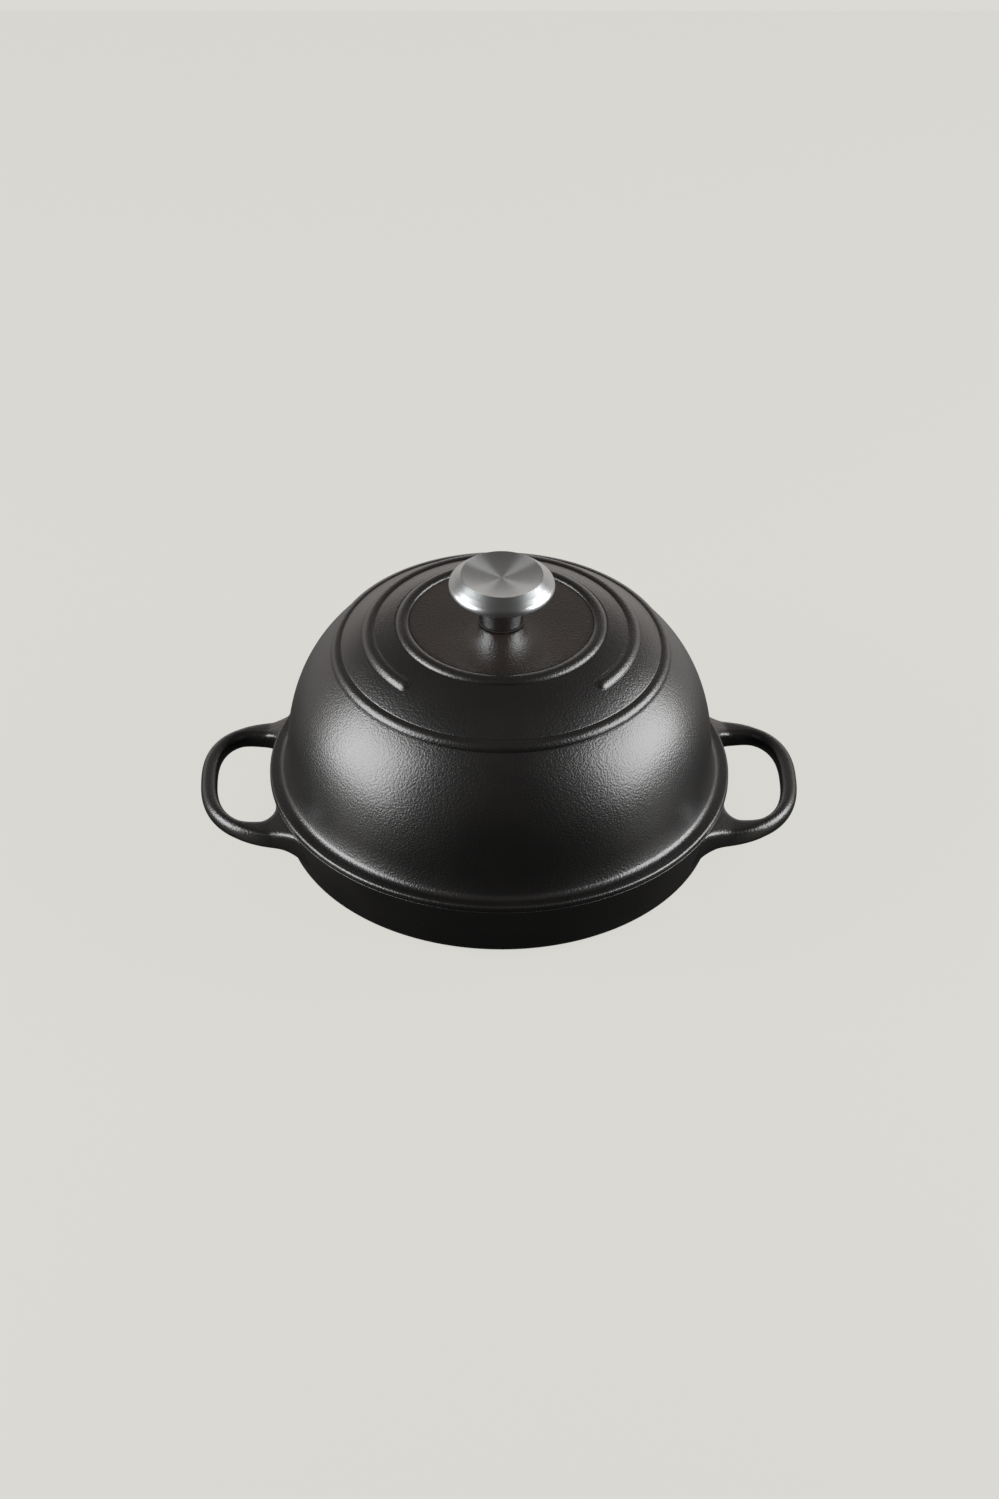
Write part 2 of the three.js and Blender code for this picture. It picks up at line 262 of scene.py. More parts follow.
def lathe(corners: list[Corner], sides: int) -> Surface:
    """Closed body turned from a profile that runs anticlockwise.

    Args:
        corners: Corners as for rounded. Where the first and last lie on the axis they become poles,
            and otherwise the profile is a closed loop.
        sides: Points round the axis.

    Returns:
        Vertices and faces.
    """
    points = rounded(corners)
    if corners[0][0] == 0:
        return skin(turned(supported(points), sides), Ends.POLES)
    loop = supported(np.concatenate([points, points[:1]]))[:-1]
    return skin(turned(loop, sides), Ends.JOINED)


# Shader nodes


def maths(operation: str, reflected: bool = False) -> Callable[["Value", "Value | float"], "Value"]:
    """Method of a Value for one operator.

    Args:
        operation: Operation of the Math node that the operator adds.
        reflected: Whether the other operand comes first.

    Returns:
        The method.
    """

    def method(self: "Value", other: "Value | float") -> "Value":
        """Adds the Math node and gives its result."""
        first, second = (other, self) if reflected else (self, other)
        return self.shader.value("ShaderNodeMath", {0: first, 1: second}, operation=operation)

    return method


@dataclass(frozen=True)
class Value:
    """A number socket that takes part in Python arithmetic by adding Math nodes."""

    shader: "Shader"
    socket: Socket

    __add__ = maths("ADD")
    __radd__ = maths("ADD", reflected=True)
    __sub__ = maths("SUBTRACT")
    __rsub__ = maths("SUBTRACT", reflected=True)
    __mul__ = maths("MULTIPLY")
    __rmul__ = maths("MULTIPLY", reflected=True)
    __pow__ = maths("POWER")

    def centred(self) -> "Value":
        """A noise of 0 to 1, moved so that it lies about 0."""
        return self - 0.5

    def step(self, low: float, high: float) -> "Value":
        """Smooth step from 0 at low to 1 at high."""
        inputs = {"Value": self, "From Min": low, "From Max": high}
        return self.shader.value("ShaderNodeMapRange", inputs, interpolation_type="SMOOTHSTEP")

    def rise(self, place: float, fade: float) -> "Value":
        """Smooth step about a place in millimetres, over the fade on each side of it."""
        return self.step((place - fade) * MM, (place + fade) * MM)


class Shader:
    """Node tree of a material or of the world, filled one node at a time."""

    def __init__(self, tree: bpy.types.NodeTree) -> None:
        """Empties the tree."""
        self.tree = tree
        tree.nodes.clear()

    def node(self, kind: str, inputs: Mapping | None = None, **settings: str) -> bpy.types.Node:
        """Adds a node.

        Args:
            kind: Node type.
            inputs: Numbers, colours, sockets or Values by the name or number of the input.
            settings: Properties of the node, set first.

        Returns:
            The new node.
        """
        made = self.tree.nodes.new(kind)
        for name, setting in settings.items():
            setattr(made, name, setting)
        for name, given in (inputs or {}).items():
            source = given.socket if isinstance(given, Value) else given
            if isinstance(source, Socket):
                self.tree.links.new(source, made.inputs[name])
            elif isinstance(source, tuple) and made.inputs[name].type == "RGBA":
                made.inputs[name].default_value = (*source, 1)
            else:
                made.inputs[name].default_value = source
        return made

    def value(self, kind: str, inputs: Mapping, output: str | int = 0, **settings: str) -> Value:
        """Adds a node and gives one of its outputs as a Value."""
        return Value(self, self.node(kind, inputs, **settings).outputs[output])

    def place(self, output: str = "Object") -> tuple[Value, Value, Value]:
        """Coordinates as three Values: in metres on an object, or another output of the node."""
        texture = self.node("ShaderNodeTexCoord")
        split = self.node("ShaderNodeSeparateXYZ", {"Vector": texture.outputs[output]})
        return tuple(Value(self, socket) for socket in split.outputs)

    def rays(self, *kinds: str) -> tuple[Value, ...]:
        """For each kind of ray a Value that is 1 where such a ray looks."""
        path = self.node("ShaderNodeLightPath")
        return tuple(Value(self, path.outputs[f"Is {kind} Ray"]) for kind in kinds)

    def point(self, x: Value | float, y: Value | float, z: Value | float) -> Socket:
        """Vector of three Values."""
        return self.node("ShaderNodeCombineXYZ", {0: x, 1: y, 2: z}).outputs[0]

    def noise(self, vector: Socket, size: float, layers: float = 2.0) -> Value:
        """Noise of 0 to 1 over a vector, with cells of a size in millimetres and finer layers."""
        inputs = {"Vector": vector, "Scale": 1 / (size * MM), "Detail": layers}
        return self.value("ShaderNodeTexNoise", inputs, "Fac")

    def blend(self, share: Value, low: Colour | Socket, high: Colour) -> Socket:
        """Colour from low at share 0 to high at share 1."""
        inputs = {0: share, MIX_LOW: low, MIX_HIGH: high}
        return self.node("ShaderNodeMix", inputs, data_type="RGBA").outputs[MIX_RESULT]

    def bump(self, height: Value, depth: float) -> Socket:
        """Normal of a relief whose height of 0 to 1 is worth a depth in millimetres."""
        inputs = {"Strength": 1.0, "Distance": depth * MM, "Height": height}
        return self.node("ShaderNodeBump", inputs).outputs["Normal"]

    def mixed(self, share: Value, first: bpy.types.Node, second: bpy.types.Node) -> Socket:
        """Surface from the first node at share 0 to the second at share 1."""
        inputs = {0: share, 1: first.outputs[0], 2: second.outputs[0]}
        return self.node("ShaderNodeMixShader", inputs).outputs[0]

    def principled(self, inputs: Mapping) -> None:
        """Ends a material in a Principled surface with the given values and links."""
        surface = self.node("ShaderNodeBsdfPrincipled", inputs)
        self.node("ShaderNodeOutputMaterial", {"Surface": surface.outputs[0]})


def new_material(name: str) -> tuple[Material, Shader]:
    """Material with an empty tree."""
    material = bpy.data.materials.new(name)
    material.use_nodes = True
    return material, Shader(material.node_tree)


# Finishes


@dataclass(frozen=True)
class SatinEnamel:
    """Satin black enamel over sand cast iron, with a fine pebble."""

    dark: Colour = (0.0034, 0.0029, 0.0027)
    light: Colour = (0.0056, 0.0048, 0.0044)
    tones: Span = (0.3, 0.7)
    index: float = 1.8
    gloss: float = 0.35
    wave_gloss: float = 0.04
    wave_size: float = 26.0
    wave_layers: float = 3.0
    grain_gloss: float = 0.06
    grain_size: float = 0.5
    grain_layers: float = 1.0
    grain_share: float = 0.15
    pebble_size: float = 1.1
    pebble_layers: float = 0.6
    pebbles: Span = (0.25, 0.75)
    pebble_depth: float = 0.075
    # Lighter, browner colour painted on the crown inside the first ring
    crown_tint: Colour = (0.0180, 0.0116, 0.0088)
    crown_radius: float = 49.0
    crown_edge: float = 0.9
    crown_from: float = 129.5
    crown_fade: float = 0.5
    rim_gloss: float = 0.45
    rim_from: float = 34.3
    rim_fade: float = 0.2
    seam: float = 35.4
    seam_fade: float = 0.1
    worn: Colour = (0.011, 0.0105, 0.010)
    foot_wear: float = 0.9
    foot_spots: Span = (0.35, 0.6)
    foot_gloss: float = 0.4

    def material(self) -> Material:
        """Builds the enamel.

        Pebble and grain make the relief. Slow waves vary the colour and the gloss. The rim up to
        the seam, which is left unglazed, is matt, the foot ring is worn pale in spots, and the crown
        inside the first ring is painted a lighter, browner colour.

        Returns:
            The material.
        """
        material, shader = new_material("satin_enamel")
        x, y, z = shader.place()
        where = shader.point(x, y, z)
        pebble = shader.noise(where, self.pebble_size, self.pebble_layers).step(*self.pebbles)
        grain = shader.noise(where, self.grain_size, self.grain_layers)
        wave = shader.noise(where, self.wave_size, self.wave_layers)
        relief = pebble * (1 - self.grain_share) + grain * self.grain_share
        rim = z.rise(self.rim_from, self.rim_fade) * (1 - z.rise(self.seam, self.seam_fade))
        foot = (1 - z.step(0.0, self.foot_wear * MM)) * wave.step(*self.foot_spots)
        edge = (self.crown_radius * MM) ** 2
        crown = 1 - (x * x + y * y).step(edge * self.crown_edge, edge)
        crown = crown * z.rise(self.crown_from, self.crown_fade)
        colour = shader.blend(wave.step(*self.tones), self.dark, self.light)
        # The crown inside the first ring is painted lighter and browner
        colour = shader.blend(crown, colour, self.crown_tint)
        gloss = self.gloss + wave.centred() * self.wave_gloss + grain.centred() * self.grain_gloss
        inputs = {
            "Base Color": shader.blend(foot, colour, self.worn),
            "Roughness": gloss + (rim + foot * self.foot_gloss) * (self.rim_gloss - self.gloss),
            "Normal": shader.bump(relief, self.pebble_depth),
            "IOR": self.index,
        }
        shader.principled(inputs)
        return material


@dataclass(frozen=True)
class TurnedSteel:
    """Stainless steel turned on a lathe: fine rings about the axis, which draw highlights out."""

    name: str
    gloss: float
    stretch: float
    dark: Colour
    light: Colour
    stem_gloss: float = 0.12
    stem_fade: float = 1.0
    gloss_spread: float = 0.05
    ring_size: float = 0.35
    ring_layers: float = 3.0
    ring_share: float = 0.6
    ring_depth: float = 0.0018
    rings_in_band: float = 6.0
    smudge_size: float = 9.0
    brushing: float = 0.25

    def material(self, stem_top: float) -> Material:
        """Builds the steel.

        Noise over radius and height alone makes rings and wider bands, in relief, colour and gloss.
        Smudges vary the gloss too, and the stem is smoother.

        Args:
            stem_top: Height up to which the stem reaches.

        Returns:
            The material.
        """
        material, shader = new_material(self.name)
        x, y, z = shader.place()
        across = shader.point((x * x + y * y) ** 0.5, z, 0.0)
        rings = shader.noise(across, self.ring_size, self.ring_layers)
        bands = shader.noise(across, self.rings_in_band * self.ring_size)
        smudge = shader.noise(shader.point(x, y, z), self.smudge_size)
        most, rest = self.ring_share, 1 - self.ring_share
        head = z.rise(stem_top, self.stem_fade)
        gloss = self.stem_gloss + (self.gloss - self.stem_gloss) * head
        inputs = {
            "Base Color": shader.blend(rings * most + bands * rest, self.dark, self.light),
            "Metallic": 1.0,
            "Roughness": gloss + (rings * most + smudge * rest).centred() * self.gloss_spread,
            "Normal": shader.bump(rings, self.ring_depth),
            "Anisotropic": self.stretch,
            "Anisotropic Rotation": self.brushing,
        }
        shader.principled(inputs)
        return material


@dataclass(frozen=True)
class CloudedFinish:
    """Finish of one small part: clouds in colour and gloss over a fine grain."""

    name: str
    metal: float
    dark: Colour
    light: Colour
    gloss: float
    gloss_spread: float
    cloud_size: float
    cloud_layers: float
    grain_size: float
    grain_layers: float
    grain_depth: float

    def material(self) -> Material:
        """Builds the finish.

        Returns:
            The material.
        """
        material, shader = new_material(self.name)
        where = shader.point(*shader.place())
        cloud = shader.noise(where, self.cloud_size, self.cloud_layers)
        grain = shader.noise(where, self.grain_size, self.grain_layers)
        inputs = {
            "Base Color": shader.blend(cloud, self.dark, self.light),
            "Metallic": self.metal,
            "Roughness": self.gloss + cloud.centred() * self.gloss_spread,
            "Normal": shader.bump(grain, self.grain_depth),
        }
        shader.principled(inputs)
        return material


# Steel of the knob's shell, and of its cap, whose colour is painted lighter than the shell's to brighten
# the knob's top
SHELL_STEEL = TurnedSteel(
    name="shell_steel",
    gloss=0.39,
    stretch=0.55,
    dark=(0.42, 0.435, 0.44),
    light=(0.55, 0.57, 0.575),
)
CAP_STEEL_PAINTED_LIGHTER = TurnedSteel(
    name="cap_steel_painted_lighter",
    gloss=0.31,
    stretch=0.93,
    # Painted lighter than the shell's steel, as if more light fell on the cap
    dark=(0.61, 0.635, 0.64),
    light=(0.79, 0.825, 0.83),
)
# Plating of the hidden fasteners
ZINC_PLATE = CloudedFinish(
    name="zinc_plate",
    metal=1.0,
    dark=(0.36, 0.37, 0.39),
    light=(0.55, 0.56, 0.58),
    gloss=0.38,
    gloss_spread=0.25,
    cloud_size=2.5,
    cloud_layers=4.0,
    grain_size=0.2,
    grain_layers=2.0,
    grain_depth=0.004,
)
# Matt black silicone of the knob's seat ring, with a dusty bloom
SEAT_RUBBER = CloudedFinish(
    name="seat_rubber",
    metal=0.0,
    dark=(0.007, 0.007, 0.007),
    light=(0.014, 0.014, 0.014),
    gloss=0.72,
    gloss_spread=0.2,
    cloud_size=3.0,
    cloud_layers=3.0,
    grain_size=0.15,
    grain_layers=1.0,
    grain_depth=0.006,
)


@dataclass(frozen=True)
class Dressing:
    """A material together with the record's slot it belongs to."""

    material: Material
    slot: Slot


def placed(name: str, data: bpy.types.ID) -> bpy.types.Object:
    """New object of the scene."""
    made = bpy.data.objects.new(name, data)
    bpy.context.scene.collection.objects.link(made)
    return made


def add_piece(name: str, surface: Surface, dressing: Dressing, body: Body, node: str) -> None:
    """Makes a finished piece that rides on a body in place of a CAD node.

    Args:
        name: Name of the piece.
        surface: Vertices in millimetres and faces.
        dressing: Finish of the piece.
        body: Body that it moves with.
        node: CAD node that it stands for.
    """
    vertices, faces = surface
    mesh = bpy.data.meshes.new(name)
    mesh.from_pydata((vertices * MM).tolist(), [], faces)
    mesh.polygons.foreach_set("use_smooth", np.ones(len(mesh.polygons), bool))
    mesh.materials.append(dressing.material)
    mesh.update()
    piece = placed(name, mesh)
    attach(piece, body.value)
    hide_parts(node)
    LOG.info("%s: %d faces, rides on %s", name, len(faces), body.value)


# Castings


@dataclass
class Pan:
    """Shallow pan: a straight tapered wall, a flat rim and three crumb rings on its floor."""

    rim_radius: float = 124.7
    height: float = 35.0
    taper: float = 10.0
    corner: float = 7.0
    wall: float = 4.5
    floor: float = 4.5
    rim_thickness: float = 5.7
    rim_edge: float = 0.25
    tray_corner: float = 9.0
    foot_recess: float = 1.0
    foot_width: float = 15.0
    foot_edge: float = 0.5
    recess_corner: float = 0.8
    ring_radii: tuple[float, ...] = (78.0, 54.0, 30.0)
    ring_width: float = 5.0
    ring_height: float = 1.3
    ring_edge: float = 0.9
    ring_fillet: float = 1.0
    sides: int = 288

    @property
    def mouth_radius(self) -> float:
        """Radius of the opening at the rim."""
        return self.rim_radius - self.rim_thickness

    @property
    def foot_radius(self) -> float:
        """Radius that the wall would reach at the ground."""
        return self.rim_radius - self.taper

    @property
    def floor_top(self) -> float:
        """Height of the tray's floor."""
        return self.foot_recess + self.floor

    @property
    def tray_radius(self) -> float:
        """Radius of the tray where wall and floor would meet."""
        return self.foot_radius + self.taper * self.floor_top / self.height - self.wall

    @property
    def inner_slope(self) -> float:
        """Radius that the inner wall loses per height."""
        return (self.mouth_radius - self.tray_radius) / (self.height - self.floor_top)

    def wall_radius(self, height: Array) -> Array:
        """Outer radius at a height: the rim's, less the taper times the drop's share of the height."""
        return self.rim_radius - self.taper * (self.height - height) / self.height

    def corners(self) -> list[Corner]:
        """Profile of the pan from the middle of its underside round to the middle of its floor.

        Returns:
            Corners as for rounded.
        """
        recess = self.foot_radius - self.corner - self.foot_width
        half, top = self.ring_width / 2, self.floor_top + self.ring_height
        rings = [
            corner
            for radius in self.ring_radii
            for corner in (
                (radius + half, self.floor_top, self.ring_fillet),
                (radius + half / 2, top, self.ring_edge),
                (radius - half / 2, top, self.ring_edge),
                (radius - half, self.floor_top, self.ring_fillet),
            )
        ]
        return [
            (0, self.foot_recess, 0),
            (recess, self.foot_recess, self.recess_corner),
            (recess + self.foot_recess, 0, self.foot_edge),
            (self.foot_radius, 0, self.corner),
            (self.rim_radius, self.height, self.rim_edge),
            (self.mouth_radius, self.height, self.rim_edge),
            (self.tray_radius, self.floor_top, self.tray_corner),
            *rings,
            (0, self.floor_top, 0),
        ]

    def build(self, enamel: Dressing) -> None:
        """Makes the pan's casting."""
        add_piece("pan", lathe(self.corners(), self.sides), enamel, Body.PAN, "base")


class Side(Enum):
    """The two handles, as the half turn about the axis that carries the right one to its place."""

    RIGHT = 0.0
    LEFT = math.pi


@dataclass
class Handle:
    """Loop handle cast onto the pan: a rounded bar round a finger hole, filleted into the wall."""

    pan: Pan
    side: Side
    reach: float = 37.6
    half_width: float = 52.0
    set_in: float = 12.7
    power: float = 2.5
    thickness: float = 10.1
    drop: float = 4.4
    tilt: float = 3.0
    grip_width: float = 9.0
    arm_width: float = 13.6
    hole_set_out: float = 8.3
    hole_power: float = 2.4
    section_power: float = 2.25
    root_power: float = 6.5
    root_run: float = 24.0
    outer_fillet: float = 12.0
    inner_fillet: float = 14.0
    upper_rise: float = 3.9
    upper_run: float = 10.5
    lower_fillet: float = 9.0
    root_depth: float = 2.2
    pivot: float = 3.0
    last_angle: float = 118.0
    edge_points: int = 3001
    run_points: int = 400
    loop_rows: int = 110
    root_rows: int = 44
    columns: int = 56

    def edge(self, angle: Array, middle: float, reach: float, half: float, power: float) -> Array:
        """One edge of the loop in plan, along rays from the pivot.

        The edge is half a superellipse that runs on straight into the wall, and each ray meets it
        where the ray's angle lies between the angles of two close points of the edge.

        Args:
            angle: Angles of the rays from the outward direction.
            middle: Distance of the superellipse's widest line from the pan's axis.
            reach: Half axis outwards.
            half: Half axis sideways.
            power: Power of the superellipse.

        Returns:
            Points in plan.
        """
        across, up = superellipse(np.linspace(-QUARTER, QUARTER, self.edge_points), power)
        run = np.linspace(0, self.pan.rim_radius / 2, self.run_points)[1:]
        x = np.concatenate([middle - run[::-1], middle + reach * across, middle - run])
        y = np.concatenate([0 * run - half, half * up, 0 * run + half])
        ray = np.arctan2(y, x - self.pan.rim_radius - self.pivot)
        return np.stack([np.interp(angle, ray, x), np.interp(angle, ray, y)], axis=-1)

    def angles(self) -> Array:
        """Angles of the rays, closer together along the roots than round the loop.

        Returns:
            The angles in rising order.
        """
        root = np.radians(self.last_angle)
        loop = np.linspace(-QUARTER, QUARTER, self.loop_rows)
        roots = np.linspace(QUARTER, root, self.root_rows)
        return np.unique(np.concatenate([-roots, loop, roots]))

    def grid(self) -> Array:
        """Skin of the bar.

        The bar's section is a superellipse between the loop's outer and inner edge, on a middle
        plane that rises outwards. Near the wall the section squares up and spreads along the wall
        by a quarter round of the distance to it, sideways and down, and by a ramp upwards, so that
        it runs into the wall.

        Returns:
            Points by row along the loop and column round the section.
        """
        pan, angle = self.pan, self.angles()
        outer = self.edge(
            angle, pan.rim_radius - self.set_in, self.reach + self.set_in, self.half_width, self.power
        )
        inner = self.edge(
            angle,
            pan.rim_radius + self.hole_set_out,
            self.reach - self.grip_width - self.hole_set_out,
            self.half_width - self.arm_width,
            self.hole_power,
        )
        middle, outwards = (outer + inner) / 2, unit(outer - inner)
        half = np.linalg.norm(outer - inner, axis=1, keepdims=True) / 2
        to_wall = np.hypot(*middle.T)[:, None] - pan.wall_radius(pan.height - self.drop)
        nearness = np.clip(1 - to_wall / self.root_run, 0, 1)
        across, up = superellipse(
            np.linspace(0, FULL_TURN, self.columns, endpoint=False)[None],
            self.section_power + (self.root_power - self.section_power) * nearness,
        )
        x = middle[:, :1] + outwards[:, :1] * half * across
        y = middle[:, 1:] + outwards[:, 1:] * half * across
        rise = math.tan(math.radians(self.tilt))
        level = pan.height - self.drop - self.thickness / 2 + (x - pan.rim_radius) * rise
        z = level + self.thickness / 2 * up
        radius, turn = np.hypot(x, y), np.arctan2(y, x)
        off_wall = radius - pan.wall_radius(z)
        sideways = np.sign(outwards[:, 1:] * np.cos(turn) - outwards[:, :1] * np.sin(turn))
        spread = np.where(
            across > 0,
            self.outer_fillet * fillet(off_wall, self.outer_fillet),
            self.inner_fillet * fillet(off_wall, self.inner_fillet),
        )
        lift = np.where(
            up > 0,
            self.upper_rise * ramp(off_wall, self.upper_run),
            self.lower_fillet * fillet(off_wall, self.lower_fillet),
        )
        turn = turn + sideways * spread * across / radius
        z = np.minimum(z + lift * up, pan.height - pan.rim_edge / 2)
        radius = pan.wall_radius(z) + np.maximum(off_wall, -self.root_depth)
        return capped(polar(radius, turn + self.side.value, z))

    def build(self, enamel: Dressing) -> None:
        """Makes the handle."""
        name = f"handle_{self.side.name.lower()}"
        add_piece(name, skin(self.grid()[:, ::-1], Ends.POLES), enamel, Body.PAN, "base")


@dataclass(frozen=True)
class Ring:
    """Raised ring on the lid, open at the front by a gap in degrees."""

    radius: float
    width: float
    groove: float
    gap: float = 0.0


@dataclass
class Lid:
    """Domed lid: flange and lip on the pan, a superellipse dome, a flat crown and three rings."""

    pan: Pan
    seat_gap: float = 0.3
    lip_clearance: float = 0.8
    lip_depth: float = 3.5
    lip_thickness: float = 4.0
    lip_edge: float = 0.8
    lip_root: float = 0.6
    step_height: float = 0.5
    step_edge: float = 2.0
    flange_inset: float = 0.1
    flange_width: float = 9.3
    flange_thickness: float = 3.2
    flange_edge: float = 1.4
    flange_under: float = 0.5
    foot_fillet: float = 3.8
    foot_flare: float = 2.2
    flare_height: float = 14.0
    dome_height: float = 100.5
    dome_power: float = 2.65
    crown_drop: float = 4.9
    crown_blend: float = 1.2
    wall: float = 4.2
    crown_thickness: float = 4.6
    rings: tuple[Ring, ...] = (
        Ring(52.85, 7.3, 0.3),
        Ring(71.0, 7.4, 0.07, 94.0),
        Ring(88.3, 6.8, 0.10),
    )
    ring_height: float = 1.6
    ring_crease: float = 0.05
    ring_reach: float = 0.98
    groove_width: float = 0.32
    screw_hole: float = 3.35
    sides: int = 264
    end_spread: float = 5.0
    end_columns: int = 31
    shoulder: float = 94.0
    crown_points: int = 3000
    flank_points: int = 2000
    rows: int = 76
    least_row: float = 0.07
    row_digits: int = 3
    foot_rows: tuple[float, ...] = (
        -0.9, -0.65, -0.45, -0.3, -0.18, -0.08, 0, 0.08, 0.18, 0.3, 0.45, 0.65, 0.9, 1.3
    )
    crest_rows: int = 10
    crest_inset: float = 1.2
    ceiling_edge: float = 58.0
    ceiling_rows: int = 8
    hollow_span: Span = (62.0, 98.0)
    hollow_rows: int = 14
    hollow_foot: float = 4.0
    side_rows: int = 15
    rim_start: float = 3.5
    rim_end: float = 1.0

    @property
    def base(self) -> float:
        """Height of the flange's underside."""
        return self.pan.height + self.seat_gap

    @property
    def flange_radius(self) -> float:
        """Radius of the flange."""
        return self.pan.rim_radius - self.flange_inset

    @property
    def dome_radius(self) -> float:
        """Radius of the dome at its foot."""
        return self.flange_radius - self.flange_width

    @property
    def crown_top(self) -> float:
        """Height of the flat crown."""
        return self.base + self.flange_thickness + self.dome_height - self.crown_drop

    @property
    def ceiling(self) -> float:
        """Height of the flat ceiling inside."""
        return self.crown_top - self.crown_thickness

    def angles(self) -> Array:
        """Angles round the axis, closer together at the two ends of the middle ring.

        Returns:
            The angles in rising order.
        """
        even = np.linspace(-math.pi, math.pi, self.sides, endpoint=False)
        close = np.radians(np.linspace(-self.end_spread, self.end_spread, self.end_columns))
        half_gaps = [math.radians(ring.gap / 2) for ring in self.rings if ring.gap]
        ends = [close - QUARTER + side * half for half in half_gaps for side in (-1, 1)]
        return np.unique(np.concatenate([even, *ends]))

    def dome_height_at(self, radius: Array, wall: float, cut: float) -> Array:
        """Height of a dome over the flange, by a superellipse in radius and height.

        Args:
            radius: Distance from the axis.
            wall: How far the dome lies inside the outer one.
            cut: Height of the flat that the dome blends into.

        Returns:
            The smooth minimum of dome and flat.
        """
        share = np.clip(radius / (self.dome_radius - wall), 0, 1)
        dome = (self.dome_height - wall) * (1 - share**self.dome_power) ** (1 / self.dome_power)
        apart = np.sqrt((dome - cut) ** 2 + self.crown_blend**2)
        return self.flange_thickness + (dome + cut - apart) / 2

    def dome_radius_at(self, height: Array, wall: float) -> Array:
        """Radius of a dome that lies inside by a wall, at a height, from the same superellipse."""
        share = height / (self.dome_height - wall)
        return (self.dome_radius - wall) * (1 - share**self.dome_power) ** (1 / self.dome_power)

    def flared_radius_at(self, height: Array) -> Array:
        """Outer radius of the dome at a height, with a parabola that flares its lowest part out."""
        flare = self.foot_flare * np.clip(1 - height / self.flare_height, 0, 1) ** 2
        return self.dome_radius_at(height, 0) + flare

    def outer_line(self) -> Array:
        """Plain outer profile from the foot fillet over the dome to the edge of the screw hole.

        Points lie evenly along the profile and close together where a ring's sides meet the dome.

        Returns:
            Distance along the profile, radius and height by row.
        """
        radius = np.linspace(self.shoulder, self.screw_hole, self.crown_points)
        top = self.dome_height_at(radius, 0, self.dome_height - self.crown_drop)
        height = np.linspace(self.foot_fillet, top[0] - self.flange_thickness, self.flank_points)[:-1]
        flank = np.stack([self.flared_radius_at(height), self.flange_thickness + height], axis=1)
        line = np.concatenate([flank, np.stack([radius, top], axis=1)])
        along = np.concatenate([[0], np.cumsum(np.linalg.norm(np.diff(line, axis=0), axis=1))])
        places = [np.linspace(0, along[-1], self.rows)]
        for ring in self.rings:
            middle, half = self.ring_place(line, along, ring), ring.width / 2
            feet, crest = half + np.array(self.foot_rows), half - self.crest_inset
            places += [middle + feet, middle - feet]
            places += [middle + np.linspace(-crest, crest, self.crest_rows)]
        places = np.unique(np.round(np.concatenate(places), self.row_digits))
        places = places[np.concatenate([[True], np.diff(places) > self.least_row])]
        return np.stack([places, *(np.interp(places, along, line[:, k]) for k in (0, 1))], axis=1)

    @staticmethod
    def ring_place(line: Array, along: Array, ring: Ring) -> float:
        """Distance along a profile at which a ring's middle lies."""
        return float(np.interp(-ring.radius, -line[:, 0], along))

    def ring_lift(self, distance: Array, ring: Ring) -> Array:
        """Height of a raised ring over the plain dome.

        The section is part of a circle through the ring's two feet and its crest. A hyperbola
        rounds the crease at each foot, and a fine groove runs along it.

        Args:
            distance: Distance from the ring's middle line.
            ring: The ring.

        Returns:
            The height, which fades to 0 outside the ring.
        """
        half = ring.width / 2
        circle = (half**2 + self.ring_height**2) / (2 * self.ring_height)
        inside = np.minimum(np.abs(distance), circle * self.ring_reach)
        height = np.sqrt(circle**2 - inside**2) - (circle - self.ring_height)
        groove = np.exp(-(((distance - half) / self.groove_width) ** 2))
        return (height + np.sqrt(height**2 + self.ring_crease**2)) / 2 - ring.groove * groove

    def grid(self) -> Array:
        """Skin of the whole lid.

        The plain profile is turned about the axis. Over the dome each point moves along the
        profile's normal by the height of the rings there. The distance to a ring with a gap is
        measured to an arc that is open at the front, so that its ends are round.

        Returns:
            Points by row along the closed profile and column round the axis.
        """
        angle, rows = self.angles(), self.outer_line()
        along, line = rows[:, 0], rows[:, 1:]
        slope = unit(np.gradient(line, along, axis=0))
        normal = np.stack([slope[:, 1], -slope[:, 0]], axis=1)
        radius = line[:, :1]
        lift = 0 * radius
        for ring in self.rings:
            past_end = np.maximum(0, math.radians(ring.gap / 2) - np.abs(self.from_front(angle)))
            off = along[:, None] - self.ring_place(line, along, ring)
            lift = lift + self.ring_lift(np.hypot(off, radius * past_end), ring)
        dome = line[:, None] + normal[:, None] * lift[..., None]
        rest = np.concatenate([self.inner_profile(), self.rim_profile()])
        profile = np.concatenate([dome, np.repeat(rest[:, None], len(angle), axis=1)])
        return polar(profile[..., 0], angle, profile[..., 1] + self.base)

    @staticmethod
    def from_front(angle: Array) -> Array:
        """Angle from the front, between minus and plus half a turn."""
        return (angle + QUARTER + math.pi) % FULL_TURN - math.pi

    def inner_profile(self) -> Array:
        """Profile from the screw hole along the ceiling and down the hollow.

        Returns:
            Points of radius and height over the flange's underside.
        """
        cut = self.ceiling - self.base - self.flange_thickness
        flat = np.linspace(self.screw_hole, self.ceiling_edge, self.ceiling_rows)
        radius = np.concatenate([flat, np.linspace(*self.hollow_span, self.hollow_rows)])
        top = np.stack([radius, self.dome_height_at(radius, self.wall, cut)], axis=1)
        height = np.linspace(top[-1, 1] - self.flange_thickness, self.hollow_foot, self.side_rows)[1:]
        side = np.stack([self.dome_radius_at(height, self.wall), self.flange_thickness + height], axis=1)
        return np.concatenate([top, side])

